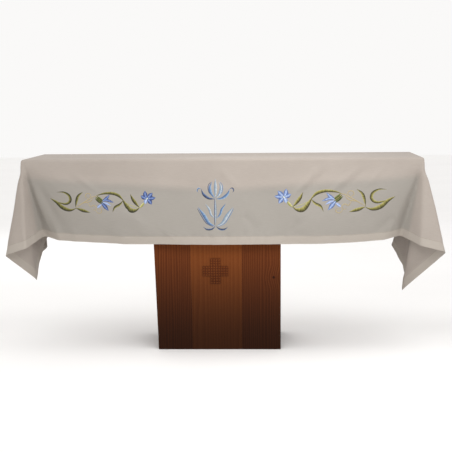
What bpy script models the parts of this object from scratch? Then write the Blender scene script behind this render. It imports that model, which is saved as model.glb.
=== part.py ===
import math

import bmesh
import bpy
import numpy as np

# Table board and pedestal sizes, metres
BOARD_LENGTH = 1.990
BOARD_DEPTH = 0.590
BOARD_THICK = 0.030
BOARD_TOP_Z = 0.970
BOARD_PLAN_RADIUS = 0.025
BOARD_EDGE_RADIUS = 0.010
PEDESTAL_DEPTH = 0.480
PANEL_THICK = 0.018
GAP = 0.0003

# Cloth sizes, metres
CLOTH_THICK = 0.0012
CLOTH_CLEAR = 0.005
FRONT_DROP = 0.428
BACK_DROP = 0.376
LEFT_DROP = 0.515
RIGHT_DROP = 0.610
EDGE_SOFTNESS = 0.012
FOLD_SOFTNESS = 0.020
APEX_PLAIN = 0.020
APEX_FULL = 0.120
FLARE_LEAN = 0.10
END_SPLIT_Y = 0.03

# The origin is on the floor, this far behind the table's centre, under the middle of the outer box
ORIGIN_BACK = 0.068

HALF_LENGTH = BOARD_LENGTH / 2 + CLOTH_CLEAR
HALF_DEPTH = BOARD_DEPTH / 2 + CLOTH_CLEAR
CLOTH_Z = BOARD_TOP_Z + GAP + CLOTH_THICK / 2

# Front boards of the pedestal: name, left and right at the top, left and right at the foot
FRONT_BOARDS = [
    ("front_left_board", -0.3615, -0.1690, -0.3278, -0.1550),
    ("front_centre_panel", -0.1687, 0.1000, -0.1547, 0.0960),
    ("front_right_board", 0.1003, 0.2951, 0.0963, 0.2910),
]

# Folds at each corner, for each metre of drop: name, lean past the table's end, lean in under the table
FRONT_LEFT_FOLDS = [
    ("panel", -1.900, 0.000),
    ("swinging_in", -1.250, 0.050),
    ("hollow", -0.800, 0.140),
    ("leaving", -0.420, 0.220),
    ("valley", -0.209, 0.370),
    ("bulge", -0.040, -0.048),
    ("ridge", 0.162, 0.000),
    ("ridge_back", 0.197, 0.055),
    ("corner", -0.035, 0.300),
    ("behind", -0.060, 0.500),
    ("inner", -0.170, 0.860),
    ("inner_turn", -0.115, 0.870),
    ("outer_fold", 0.000, 0.600),
    ("outer_leg", 0.050, 0.430),
    ("return", 0.095, 0.300),
    ("return_turn", 0.145, 0.320),
    ("side", 0.090, 0.470),
    ("end", 0.000, 0.600),
]
FRONT_RIGHT_FOLDS = [
    ("panel", -1.70, 0.000),
    ("swinging_in", -1.15, 0.040),
    ("hollow", -0.77, 0.110),
    ("leaving", -0.42, 0.200),
    ("valley", -0.250, 0.346),
    ("bulge", -0.020, -0.016),
    ("ridge", 0.208, -0.035),
    ("ridge_back", 0.242, 0.020),
    ("corner", -0.120, 0.348),
    ("behind", -0.095, 0.530),
    ("inner", -0.265, 0.803),
    ("inner_turn", -0.215, 0.814),
    ("outer_leg", -0.045, 0.560),
    ("return", -0.050, 0.310),
    ("return_turn", 0.012, 0.283),
    ("end", 0.000, 0.480),
]
BACK_LEFT_FOLDS = [
    ("panel", -1.30, 0.000),
    ("leaving", -0.62, 0.000),
    ("valley", -0.46, 0.268),
    ("valley_turn", -0.39, 0.272),
    ("ridge", -0.27, -0.091),
    ("ridge_turn", -0.20, -0.092),
    ("second_valley", -0.165, 0.261),
    ("second_turn", -0.100, 0.261),
    ("corner", 0.090, -0.100),
    ("corner_turn", 0.140, -0.060),
    ("inner", -0.110, 0.384),
    ("inner_turn", -0.060, 0.388),
    ("return", 0.075, 0.187),
    ("return_turn", 0.120, 0.208),
    ("end", 0.000, 0.420),
]
BACK_RIGHT_FOLDS = [
    ("panel", -1.30, 0.000),
    ("leaving", -0.66, 0.000),
    ("valley", -0.53, 0.233),
    ("valley_turn", -0.46, 0.310),
    ("ridge", -0.37, -0.094),
    ("ridge_turn", -0.30, -0.104),
    ("second_valley", -0.27, 0.230),
    ("second_turn", -0.20, 0.274),
    ("corner", -0.020, -0.231),
    ("corner_turn", 0.045, -0.205),
    ("inner", -0.070, 0.214),
    ("inner_turn", -0.020, 0.227),
    ("return", 0.075, 0.125),
    ("return_turn", 0.120, 0.152),
    ("end", 0.000, 0.400),
]

# Soft swells of the long panels: name, place along the hem, half width, push outwards, lean for each metre of drop
FRONT_SWELLS = [
    ("left_swell", -0.50, 0.13, 0.007, -0.30),
    ("left_hollow", -0.24, 0.10, -0.005, -0.10),
    ("middle_swell", 0.06, 0.15, 0.006, 0.05),
    ("right_hollow", 0.30, 0.09, -0.006, 0.25),
    ("right_swell", 0.50, 0.11, 0.009, 0.45),
]
BACK_SWELLS = [
    ("left_swell", -0.42, 0.11, 0.012, -0.10),
    ("left_hollow", -0.16, 0.10, -0.008, 0.00),
    ("right_swell", 0.12, 0.13, 0.010, 0.10),
    ("right_hollow", 0.38, 0.10, -0.009, 0.10),
]

# Rows of the cloth between board edge and hem, as shares of the drop
DROP_ROWS = [0.0, 0.019, 0.040, 0.075, 0.13, 0.24, 0.40, 0.60, 0.80, 1.0]
EDGE_ROWS = [0.0, 0.008, 0.016, 0.034]


def smooth_step(value):
    value = np.clip(value, 0.0, 1.0)
    return value * value * (3 - 2 * value)


# One curve of directions for a corner, rounded at its folds
def fold_directions(rows, reach):
    points = np.array([row[1:] for row in rows])
    names = [row[0] for row in rows]
    corner = names.index("corner")
    for name in ("inner", "inner_turn"):
        inner = names.index(name)
        points[inner] = points[corner] + (points[inner] - points[corner]) * reach
    step = 0.005
    pieces = []
    for start, stop in zip(points[:-1], points[1:]):
        count = max(int(np.linalg.norm(stop - start) / step), 2)
        share = np.linspace(0, 1, count, endpoint=False)
        pieces.append(start + (stop - start) * share[:, None])
    line = np.vstack(pieces + [points[-1:]])
    reach_rows = int(3 * FOLD_SOFTNESS / step)
    places = np.arange(-reach_rows, reach_rows + 1) * step
    weight = np.exp(-0.5 * (places / FOLD_SOFTNESS) ** 2)
    weight /= weight.sum()
    before = line[0] + (line[0] - line[1]) * np.arange(reach_rows, 0, -1)[:, None]
    after = line[-1] + (line[-1] - line[-2]) * np.arange(1, reach_rows + 1)[:, None]
    padded = np.vstack([before, line, after])
    soft = np.column_stack([np.convolve(padded[:, k], weight, "valid") for k in (0, 1)])
    soft[0] = line[0]
    soft[-1] = line[-1]
    direction = np.column_stack([soft, -np.ones(len(soft))])
    direction /= np.linalg.norm(direction, axis=1)[:, None]
    turn = np.arccos(np.clip((direction[1:] * direction[:-1]).sum(axis=1), -1, 1))
    first = math.atan2(1, -points[0, 0])
    angle = first + np.concatenate([[0], np.cumsum(turn)])
    total = angle[-1] + math.pi / 2 - math.atan(points[-1, 1])
    return angle, direction, total


# The inner fold's reach that uses up exactly the cloth's three quarter turns
def closed_corner(rows):
    low, high = 0.2, 2.5
    for _ in range(50):
        middle = (low + high) / 2
        if fold_directions(rows, middle)[2] < math.radians(270):
            low = middle
        else:
            high = middle
    return fold_directions(rows, (low + high) / 2)


class Corner:
    def __init__(self, rows, side_x, side_y, panel_drop, end_drop):
        self.angle, self.direction, _ = closed_corner(rows)
        self.side_x = side_x
        self.side_y = side_y
        self.panel_drop = panel_drop
        self.end_drop = end_drop
        self.first = self.angle[0]
        self.last = self.angle[-1]
        self.tip = math.pi / 2 + math.atan2(end_drop, panel_drop)

    def hem_radius(self, angle):
        if angle <= self.tip:
            return self.panel_drop / math.sin(angle)
        return self.end_drop / -math.cos(angle)

    def flat_point(self, angle, radius):
        along = -radius * math.cos(angle)
        over = radius * math.sin(angle)
        return (self.side_x * (HALF_LENGTH + along), self.side_y * (HALF_DEPTH + over))

    # Direction of the folded cloth, carried on as flat panels past the first and last fold
    def folded_direction(self, angle):
        zero = np.zeros_like(angle)
        folded = np.column_stack([np.interp(angle, self.angle, self.direction[:, k]) for k in range(3)])
        folded /= np.linalg.norm(folded, axis=1)[:, None]
        panel = np.column_stack([-np.cos(angle), zero, -np.sin(angle)])
        end = np.column_stack([zero, -np.sin(angle), np.cos(angle)])
        folded = np.where((angle <= self.first)[:, None], panel, folded)
        return np.where((angle >= self.last)[:, None], end, folded)

    # Corner without its folds, flaring a little, used close to the board's corner
    def flared_direction(self, angle):
        bend = np.array([self.first, math.radians(135), self.last])
        flat = np.array([self.first, math.radians(90), self.last - math.radians(90)])
        turned = np.interp(angle, bend, flat)
        beside = turned > math.pi / 2
        share = np.clip((angle - self.first) / (self.last - self.first), 0, 1)
        flare = FLARE_LEAN * np.sin(share * math.pi) ** 2
        along = np.where(beside, 0.0, -np.cos(turned)) + flare
        under = np.where(beside, -np.cos(turned), 0.0)
        return np.column_stack([along, under, -np.sin(turned)])

    # Offset from the board's corner of the flat cloth's point at along, over
    def hang(self, along, over):
        radius = np.hypot(along, over)
        angle = np.arctan2(over, -along)
        angle = np.where(angle < 0, angle + 2 * math.pi, angle)
        flared = (angle > self.first) & (angle < self.last)
        share = np.where(flared, smooth_step((radius - APEX_PLAIN) / (APEX_FULL - APEX_PLAIN)), 1.0)[:, None]
        bent = self.folded_direction(angle) * share + self.flared_direction(angle) * (1 - share)
        place = bent * radius[:, None]
        top = np.column_stack([along, -over, np.zeros_like(angle)])
        return np.where(((along <= 0) & (over <= 0))[:, None], top, place)


CORNERS = {
    (-1, -1): Corner(FRONT_LEFT_FOLDS, -1, -1, FRONT_DROP, LEFT_DROP),
    (1, -1): Corner(FRONT_RIGHT_FOLDS, 1, -1, FRONT_DROP, RIGHT_DROP),
    (-1, 1): Corner(BACK_LEFT_FOLDS, -1, 1, BACK_DROP, LEFT_DROP),
    (1, 1): Corner(BACK_RIGHT_FOLDS, 1, 1, BACK_DROP, RIGHT_DROP),
}


# Soft swells of a long panel, fading out before the corner's folds
def swell(x, drop, rows):
    push = np.zeros_like(x)
    for _, place, half_width, outward, lean in rows:
        push += outward * np.exp(-(((x - place - lean * (drop - FRONT_DROP)) / half_width) ** 2))
    from_corner = np.arctan2(np.maximum(drop, 1e-6), HALF_LENGTH - np.abs(x))
    fade = smooth_step((math.radians(50) - from_corner) / math.radians(16))
    fade = np.where(np.abs(x) < HALF_LENGTH, fade, 0.0)
    return push * fade * smooth_step((drop - 0.03) / 0.30)


# Where a point of the flat cloth hangs, before its edges are softened
def creased_point(x, y):
    place = np.zeros((len(x), 3))
    for (side_x, side_y), corner in CORNERS.items():
        mine = (np.where(x < 0, -1, 1) == side_x) & (np.where(y < END_SPLIT_Y, -1, 1) == side_y)
        if not mine.any():
            continue
        offset = corner.hang(side_x * x[mine] - HALF_LENGTH, side_y * y[mine] - HALF_DEPTH)
        place[mine, 0] = side_x * (HALF_LENGTH + offset[:, 0])
        place[mine, 1] = side_y * (HALF_DEPTH - offset[:, 1])
        place[mine, 2] = CLOTH_Z + offset[:, 2]
    front = -y - HALF_DEPTH
    back = y - HALF_DEPTH
    place[:, 1] -= np.where(front > 0, swell(x, front, FRONT_SWELLS), 0.0)
    place[:, 1] += np.where(back > 0, swell(x, back, BACK_SWELLS), 0.0)
    return place


# Cloth surface, softened by averaging over a small square of cloth
def cloth_point(flat):
    flat = np.asarray(flat, dtype=float)
    offsets = np.linspace(-EDGE_SOFTNESS, EDGE_SOFTNESS, 7)
    total = np.zeros((len(flat), 3))
    for shift_x in offsets:
        for shift_y in offsets:
            total += creased_point(flat[:, 0] + shift_x, flat[:, 1] + shift_y)
    return total / len(offsets) ** 2


class Sheet:
    def __init__(self):
        self.keys = {}
        self.flat = []
        self.faces = []

    def vertex(self, x, y):
        key = (round(x * 20000), round(y * 20000))
        if key not in self.keys:
            self.keys[key] = len(self.flat)
            self.flat.append((x, y))
        return self.keys[key]

    def patch(self, columns):
        rows = [[self.vertex(x, y) for x, y in column] for column in columns]
        for left, right in zip(rows[:-1], rows[1:]):
            for k in range(len(left) - 1):
                corners = [left[k], left[k + 1], right[k + 1], right[k]]
                corners = [c for n, c in enumerate(corners) if c != corners[n - 1]]
                if len(corners) > 2:
                    self.faces.append(corners)


def between(start, stop, shares):
    return [(start[0] + (stop[0] - start[0]) * s, start[1] + (stop[1] - start[1]) * s) for s in shares]


# Lines across the top, close together near the board's edges
def edge_lines(half, count):
    middle = np.linspace(-half + EDGE_ROWS[-1], half - EDGE_ROWS[-1], count)
    low = [-half + row for row in EDGE_ROWS[:-1]]
    high = [half - row for row in EDGE_ROWS[:-1]]
    return low + list(middle) + high[::-1]


# Rays of a corner's fan, closest where the cloth turns sharply
def fan_angles(corner, count):
    bend = np.linalg.norm(np.gradient(np.gradient(corner.direction, axis=0), axis=0), axis=1)
    density = 1 + 6.0 * np.minimum(bend / bend.max(), 0.5)
    steps = np.concatenate([[0], np.cumsum(np.diff(corner.angle) * (density[1:] + density[:-1]) / 2)])
    angles = np.interp(np.linspace(0, steps[-1], count), steps, corner.angle)
    angles[np.argmin(np.abs(angles - corner.tip))] = corner.tip
    return angles


def cloth_sheet(fan_count, long_count, end_count):
    sheet = Sheet()
    xs = edge_lines(HALF_LENGTH, long_count)
    ys = edge_lines(HALF_DEPTH, end_count)
    sheet.patch([[(x, y) for y in ys] for x in xs])
    fans = {key: fan_angles(corner, fan_count) for key, corner in CORNERS.items()}
    hems = {}
    for key, corner in CORNERS.items():
        angles = fans[key]
        apex = corner.flat_point(0, 0)
        ends = [corner.flat_point(angle, corner.hem_radius(angle)) for angle in angles]
        sheet.patch([between(apex, end, DROP_ROWS) for end in ends])
        hems[key] = (ends[0], ends[-1])
    for side_y in (-1, 1):
        left = hems[(-1, side_y)][0]
        right = hems[(1, side_y)][0]
        columns = []
        for x in xs:
            share = (x + HALF_LENGTH) / (2 * HALF_LENGTH)
            hem = (left[0] + (right[0] - left[0]) * share, left[1])
            columns.append(between((x, side_y * HALF_DEPTH), hem, DROP_ROWS))
        sheet.patch(columns)
    for side_x in (-1, 1):
        front = hems[(side_x, -1)][1]
        back = hems[(side_x, 1)][1]
        columns = []
        for y in ys:
            share = (y + HALF_DEPTH) / (2 * HALF_DEPTH)
            hem = (front[0], front[1] + (back[1] - front[1]) * share)
            columns.append(between((side_x * HALF_LENGTH, y), hem, DROP_ROWS))
        sheet.patch(columns)
    return sheet


def material(name, colour, roughness):
    made = bpy.data.materials.new(name)
    made.use_nodes = True
    shader = made.node_tree.nodes["Principled BSDF"]
    shader.inputs["Base Color"].default_value = (*colour, 1.0)
    shader.inputs["Roughness"].default_value = roughness
    return made


def place_object(name, built, collection, made):
    mesh = bpy.data.meshes.new(name)
    bmesh.ops.recalc_face_normals(built, faces=built.faces)
    built.to_mesh(mesh)
    built.free()
    mesh.materials.append(made)
    placed = bpy.data.objects.new(name, mesh)
    collection.objects.link(placed)
    return placed


# A board of six faces between two heights, its outline given at each
def tapered_board(name, bottom, top, low_z, high_z, collection, made):
    built = bmesh.new()
    low = [built.verts.new((x, y, low_z)) for x, y in bottom]
    high = [built.verts.new((x, y, high_z)) for x, y in top]
    built.faces.new(low[::-1])
    built.faces.new(high)
    for k in range(4):
        built.faces.new((low[k], low[(k + 1) % 4], high[(k + 1) % 4], high[k]))
    return place_object(name, built, collection, made)


def outline(left, right, front, back):
    return [(left, front), (right, front), (right, back), (left, back)]


def table_board(collection, made):
    built = bmesh.new()
    bmesh.ops.create_cube(built, size=1.0)
    bmesh.ops.scale(built, vec=(BOARD_LENGTH, BOARD_DEPTH, BOARD_THICK), verts=built.verts)
    bmesh.ops.translate(built, vec=(0, 0, BOARD_TOP_Z - BOARD_THICK / 2), verts=built.verts)
    upright = [e for e in built.edges if abs(e.verts[0].co.z - e.verts[1].co.z) > BOARD_THICK / 2]
    bmesh.ops.bevel(built, geom=upright, offset=BOARD_PLAN_RADIUS, segments=5, profile=0.5, affect="EDGES")
    rims = [e for e in built.edges if abs(e.verts[0].co.z - e.verts[1].co.z) < 1e-6]
    rims = [e for e in rims if len(e.link_faces) == 2 and abs(e.link_faces[0].normal.z - e.link_faces[1].normal.z) > 0.5]
    bmesh.ops.bevel(built, geom=rims, offset=BOARD_EDGE_RADIUS, segments=3, profile=0.5, affect="EDGES")
    return place_object("table_top", built, collection, made)


def pedestal(collection, boards_made, panel_made):
    front = -PEDESTAL_DEPTH / 2
    inside = front + PANEL_THICK
    back = PEDESTAL_DEPTH / 2
    top_z = BOARD_TOP_Z - BOARD_THICK - GAP
    for name, left, right, foot_left, foot_right in FRONT_BOARDS:
        made = panel_made if name == "front_centre_panel" else boards_made
        top = outline(left, right, front, inside)
        bottom = outline(foot_left, foot_right, front, inside)
        tapered_board(name, bottom, top, 0, top_z, collection, made)
    left, foot_left = FRONT_BOARDS[0][1], FRONT_BOARDS[0][3]
    right, foot_right = FRONT_BOARDS[-1][2], FRONT_BOARDS[-1][4]
    start = inside + GAP
    stop = back - PANEL_THICK - GAP
    bottom = outline(foot_left, foot_left + PANEL_THICK, start, stop)
    top = outline(left, left + PANEL_THICK, start, stop)
    tapered_board("side_board_left", bottom, top, 0, top_z, collection, boards_made)
    bottom = outline(foot_right - PANEL_THICK, foot_right, start, stop)
    top = outline(right - PANEL_THICK, right, start, stop)
    tapered_board("side_board_right", bottom, top, 0, top_z, collection, boards_made)
    bottom = outline(foot_left, foot_right, back - PANEL_THICK, back)
    top = outline(left, right, back - PANEL_THICK, back)
    tapered_board("back_board", bottom, top, 0, top_z, collection, boards_made)


# A Greek cross of one thin plate on the centre panel
def cross_plate(collection, made):
    centre_x, centre_z = -0.0365, 0.4005
    half, arm, thick = 0.064, 0.025, 0.003
    front = -PEDESTAL_DEPTH / 2 - GAP
    quarter = [(half, -arm), (half, arm), (arm, arm)]
    ring = []
    for turn in range(4):
        cos, sin = [(1, 0), (0, 1), (-1, 0), (0, -1)][turn]
        ring += [(x * cos - z * sin, x * sin + z * cos) for x, z in quarter]
    built = bmesh.new()
    face = built.faces.new([built.verts.new((centre_x + x, front, centre_z + z)) for x, z in ring])
    moved = bmesh.ops.extrude_face_region(built, geom=[face])["geom"]
    bmesh.ops.translate(built, vec=(0, -thick, 0), verts=[v for v in moved if isinstance(v, bmesh.types.BMVert)])
    return place_object("cross_plate", built, collection, made)


def altar_cloth(collection, made):
    sheet = cloth_sheet(fan_count=56, long_count=17, end_count=4)
    points = cloth_point(sheet.flat)
    built = bmesh.new()
    verts = [built.verts.new(point) for point in points]
    for face in sheet.faces:
        built.faces.new([verts[k] for k in face])
    placed = place_object("altar_cloth", built, collection, made)
    for polygon in placed.data.polygons:
        polygon.use_smooth = True
    solid = placed.modifiers.new("thickness", "SOLIDIFY")
    solid.thickness = CLOTH_THICK
    solid.offset = 0
    solid.use_even_offset = False
    return placed


def main():
    for leftover in list(bpy.data.objects):
        bpy.data.objects.remove(leftover, do_unlink=True)
    collection = bpy.data.collections.new("altar_with_cloth")
    bpy.context.scene.collection.children.link(collection)
    linen = material("cream_linen", (0.56, 0.50, 0.42), 0.85)
    stained = material("stained_softwood", (0.19, 0.06, 0.015), 0.5)
    panel = material("stained_panel", (0.17, 0.055, 0.014), 0.5)
    board = material("plain_board", (0.30, 0.20, 0.11), 0.6)
    pale = material("pale_cross", (0.55, 0.42, 0.24), 0.5)
    table_board(collection, board)
    pedestal(collection, stained, panel)
    cross_plate(collection, pale)
    altar_cloth(collection, linen)
    for placed in collection.objects:
        placed.location.y = -ORIGIN_BACK


main()
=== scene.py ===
import math

import bpy
import numpy as np
from mathutils import Matrix, Vector


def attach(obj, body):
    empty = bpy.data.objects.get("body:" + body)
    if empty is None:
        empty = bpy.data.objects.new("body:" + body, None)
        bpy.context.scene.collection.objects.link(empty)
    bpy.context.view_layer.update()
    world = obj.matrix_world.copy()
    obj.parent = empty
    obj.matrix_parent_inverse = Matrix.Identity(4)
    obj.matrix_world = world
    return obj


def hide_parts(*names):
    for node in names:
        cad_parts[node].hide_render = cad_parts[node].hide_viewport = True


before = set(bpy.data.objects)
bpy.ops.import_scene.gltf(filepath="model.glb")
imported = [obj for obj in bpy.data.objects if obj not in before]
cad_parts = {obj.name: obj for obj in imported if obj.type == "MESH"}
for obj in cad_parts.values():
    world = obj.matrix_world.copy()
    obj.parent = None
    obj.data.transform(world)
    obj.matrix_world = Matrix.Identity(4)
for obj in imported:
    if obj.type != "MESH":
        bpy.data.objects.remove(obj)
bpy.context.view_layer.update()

# Sizes of the cloth and table, metres, as in the solids
BOARD_TOP_Z = 0.970
HALF_LENGTH = 1.000
HALF_DEPTH = 0.300
GAP = 0.0003
CLOTH_THICK = 0.0012
CLOTH_Z = BOARD_TOP_Z + GAP + CLOTH_THICK / 2
FRONT_DROP = 0.428
BACK_DROP = 0.376
LEFT_DROP = 0.515
RIGHT_DROP = 0.610
EDGE_SOFTNESS = 0.012
FOLD_SOFTNESS = 0.020
APEX_PLAIN = 0.020
APEX_FULL = 0.120
FLARE_LEAN = 0.10
END_SPLIT_Y = 0.03
ORIGIN_BACK = 0.068
HEM_WIDTH = 0.044
PRESS_DROP = 0.153
PRESS_SLANT = 0.065
LINEN_THICK = 0.0009
# How fine the linen's mesh is, and how close two of its points may lie before they are one
SOFTENING_POINTS = 7
MIDDLE_ROWS = 24
POINTS_PER_METRE = 20000

# Folds at each corner, for each metre of drop: name, lean past the table's end, lean in under the table
FRONT_LEFT_FOLDS = [
    ("panel", -1.900, 0.000),
    ("swinging_in", -1.250, 0.050),
    ("hollow", -0.800, 0.140),
    ("leaving", -0.420, 0.220),
    ("valley", -0.209, 0.370),
    ("bulge", -0.040, -0.048),
    ("ridge", 0.162, 0.000),
    ("ridge_back", 0.197, 0.055),
    ("corner", -0.035, 0.300),
    ("behind", -0.060, 0.500),
    ("inner", -0.170, 0.860),
    ("inner_turn", -0.115, 0.870),
    ("outer_fold", 0.000, 0.600),
    ("outer_leg", 0.050, 0.430),
    ("return", 0.095, 0.300),
    ("return_turn", 0.145, 0.320),
    ("side", 0.090, 0.470),
    ("end", 0.000, 0.600),
]
FRONT_RIGHT_FOLDS = [
    ("panel", -1.70, 0.000),
    ("swinging_in", -1.15, 0.040),
    ("hollow", -0.77, 0.110),
    ("leaving", -0.42, 0.200),
    ("valley", -0.250, 0.346),
    ("bulge", -0.020, -0.016),
    ("ridge", 0.208, -0.035),
    ("ridge_back", 0.242, 0.020),
    ("corner", -0.120, 0.348),
    ("behind", -0.095, 0.530),
    ("inner", -0.265, 0.803),
    ("inner_turn", -0.215, 0.814),
    ("outer_leg", -0.045, 0.560),
    ("return", -0.050, 0.310),
    ("return_turn", 0.012, 0.283),
    ("end", 0.000, 0.480),
]
BACK_LEFT_FOLDS = [
    ("panel", -1.30, 0.000),
    ("leaving", -0.62, 0.000),
    ("valley", -0.46, 0.268),
    ("valley_turn", -0.39, 0.272),
    ("ridge", -0.27, -0.091),
    ("ridge_turn", -0.20, -0.092),
    ("second_valley", -0.165, 0.261),
    ("second_turn", -0.100, 0.261),
    ("corner", 0.090, -0.100),
    ("corner_turn", 0.140, -0.060),
    ("inner", -0.110, 0.384),
    ("inner_turn", -0.060, 0.388),
    ("return", 0.075, 0.187),
    ("return_turn", 0.120, 0.208),
    ("end", 0.000, 0.420),
]
BACK_RIGHT_FOLDS = [
    ("panel", -1.30, 0.000),
    ("leaving", -0.66, 0.000),
    ("valley", -0.53, 0.233),
    ("valley_turn", -0.46, 0.310),
    ("ridge", -0.37, -0.094),
    ("ridge_turn", -0.30, -0.104),
    ("second_valley", -0.27, 0.230),
    ("second_turn", -0.20, 0.274),
    ("corner", -0.020, -0.231),
    ("corner_turn", 0.045, -0.205),
    ("inner", -0.070, 0.214),
    ("inner_turn", -0.020, 0.227),
    ("return", 0.075, 0.125),
    ("return_turn", 0.120, 0.152),
    ("end", 0.000, 0.400),
]

# Soft swells of the long panels: name, place along the hem, half width, push outwards, lean with the drop
FRONT_SWELLS = [
    ("left_swell", -0.50, 0.13, 0.007, -0.30),
    ("left_hollow", -0.24, 0.10, -0.005, -0.10),
    ("middle_swell", 0.06, 0.15, 0.006, 0.05),
    ("right_hollow", 0.30, 0.09, -0.006, 0.25),
    ("right_swell", 0.50, 0.11, 0.009, 0.45),
]
BACK_SWELLS = [
    ("left_swell", -0.42, 0.11, 0.012, -0.10),
    ("left_hollow", -0.16, 0.10, -0.008, 0.00),
    ("right_swell", 0.12, 0.13, 0.010, 0.10),
    ("right_hollow", 0.38, 0.10, -0.009, 0.10),
]
# Swells end before the corner's folds, at an angle round the corner, and grow from just under the edge
SWELL_END = math.radians(50)
SWELL_FADE = math.radians(16)
SWELL_START = 0.03
SWELL_GROWTH = 0.30


def smooth_step(value):
    value = np.clip(value, 0.0, 1.0)
    return value * value * (3 - 2 * value)


# One curve of directions for a corner, rounded at its folds
def fold_directions(rows, reach):
    points = np.array([row[1:] for row in rows])
    names = [row[0] for row in rows]
    corner = names.index("corner")
    for name in ("inner", "inner_turn"):
        inner = names.index(name)
        points[inner] = points[corner] + (points[inner] - points[corner]) * reach
    step = 0.005
    pieces = []
    for start, stop in zip(points[:-1], points[1:]):
        count = max(int(np.linalg.norm(stop - start) / step), 2)
        share = np.linspace(0, 1, count, endpoint=False)
        pieces.append(start + (stop - start) * share[:, None])
    line = np.vstack(pieces + [points[-1:]])
    reach_rows = int(3 * FOLD_SOFTNESS / step)
    places = np.arange(-reach_rows, reach_rows + 1) * step
    weight = np.exp(-0.5 * (places / FOLD_SOFTNESS) ** 2)
    weight /= weight.sum()
    before = line[0] + (line[0] - line[1]) * np.arange(reach_rows, 0, -1)[:, None]
    after = line[-1] + (line[-1] - line[-2]) * np.arange(1, reach_rows + 1)[:, None]
    padded = np.vstack([before, line, after])
    soft = np.column_stack([np.convolve(padded[:, k], weight, "valid") for k in (0, 1)])
    soft[0] = line[0]
    soft[-1] = line[-1]
    direction = np.column_stack([soft, -np.ones(len(soft))])
    direction /= np.linalg.norm(direction, axis=1)[:, None]
    turn = np.arccos(np.clip((direction[1:] * direction[:-1]).sum(axis=1), -1, 1))
    first = math.atan2(1, -points[0, 0])
    angle = first + np.concatenate([[0], np.cumsum(turn)])
    total = angle[-1] + math.pi / 2 - math.atan(points[-1, 1])
    return angle, direction, total


# The inner fold's reach that uses up exactly the cloth's three quarter turns
def closed_corner(rows):
    low, high = 0.2, 2.5
    for _ in range(50):
        middle = (low + high) / 2
        if fold_directions(rows, middle)[2] < math.radians(270):
            low = middle
        else:
            high = middle
    return fold_directions(rows, (low + high) / 2)


# One corner of the cloth: its folds as directions round the board's corner
class Corner:
    def __init__(self, rows, side_x, side_y, panel_drop, end_drop):
        self.angle, self.direction, _ = closed_corner(rows)
        self.side_x = side_x
        self.side_y = side_y
        self.panel_drop = panel_drop
        self.end_drop = end_drop
        self.first = self.angle[0]
        self.last = self.angle[-1]
        self.tip = math.pi / 2 + math.atan2(end_drop, panel_drop)

    def hem_radius(self, angle):
        if angle <= self.tip:
            return self.panel_drop / math.sin(angle)
        return self.end_drop / -math.cos(angle)

    def flat_point(self, angle, radius):
        along = -radius * math.cos(angle)
        over = radius * math.sin(angle)
        return (self.side_x * (HALF_LENGTH + along), self.side_y * (HALF_DEPTH + over))

    # Direction of the folded cloth, carried on as flat panels past the first and last fold
    def folded_direction(self, angle):
        zero = np.zeros_like(angle)
        folded = np.column_stack([np.interp(angle, self.angle, self.direction[:, k]) for k in range(3)])
        folded /= np.linalg.norm(folded, axis=1)[:, None]
        panel = np.column_stack([-np.cos(angle), zero, -np.sin(angle)])
        end = np.column_stack([zero, -np.sin(angle), np.cos(angle)])
        folded = np.where((angle <= self.first)[:, None], panel, folded)
        return np.where((angle >= self.last)[:, None], end, folded)

    # Corner without its folds, flaring a little, used close to the board's corner
    def flared_direction(self, angle):
        bend = np.array([self.first, math.radians(135), self.last])
        flat = np.array([self.first, math.radians(90), self.last - math.radians(90)])
        turned = np.interp(angle, bend, flat)
        beside = turned > math.pi / 2
        share = np.clip((angle - self.first) / (self.last - self.first), 0, 1)
        flare = FLARE_LEAN * np.sin(share * math.pi) ** 2
        along = np.where(beside, 0.0, -np.cos(turned)) + flare
        under = np.where(beside, -np.cos(turned), 0.0)
        return np.column_stack([along, under, -np.sin(turned)])

    # Offset from the board's corner of the flat cloth's point at along, over
    def hang(self, along, over):
        radius = np.hypot(along, over)
        angle = np.arctan2(over, -along)
        angle = np.where(angle < 0, angle + 2 * math.pi, angle)
        flared = (angle > self.first) & (angle < self.last)
        share = np.where(flared, smooth_step((radius - APEX_PLAIN) / (APEX_FULL - APEX_PLAIN)), 1.0)[:, None]
        bent = self.folded_direction(angle) * share + self.flared_direction(angle) * (1 - share)
        place = bent * radius[:, None]
        top = np.column_stack([along, -over, np.zeros_like(angle)])
        return np.where(((along <= 0) & (over <= 0))[:, None], top, place)


CORNERS = {
    (-1, -1): Corner(FRONT_LEFT_FOLDS, -1, -1, FRONT_DROP, LEFT_DROP),
    (1, -1): Corner(FRONT_RIGHT_FOLDS, 1, -1, FRONT_DROP, RIGHT_DROP),
    (-1, 1): Corner(BACK_LEFT_FOLDS, -1, 1, BACK_DROP, LEFT_DROP),
    (1, 1): Corner(BACK_RIGHT_FOLDS, 1, 1, BACK_DROP, RIGHT_DROP),
}


# Soft swells of a long panel, fading out before the corner's folds
def swell(x, drop, rows):
    push = np.zeros_like(x)
    for _, place, half_width, outward, lean in rows:
        push += outward * np.exp(-(((x - place - lean * (drop - FRONT_DROP)) / half_width) ** 2))
    from_corner = np.arctan2(np.maximum(drop, 1e-6), HALF_LENGTH - np.abs(x))
    fade = smooth_step((SWELL_END - from_corner) / SWELL_FADE)
    fade = np.where(np.abs(x) < HALF_LENGTH, fade, 0.0)
    return push * fade * smooth_step((drop - SWELL_START) / SWELL_GROWTH)


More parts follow.
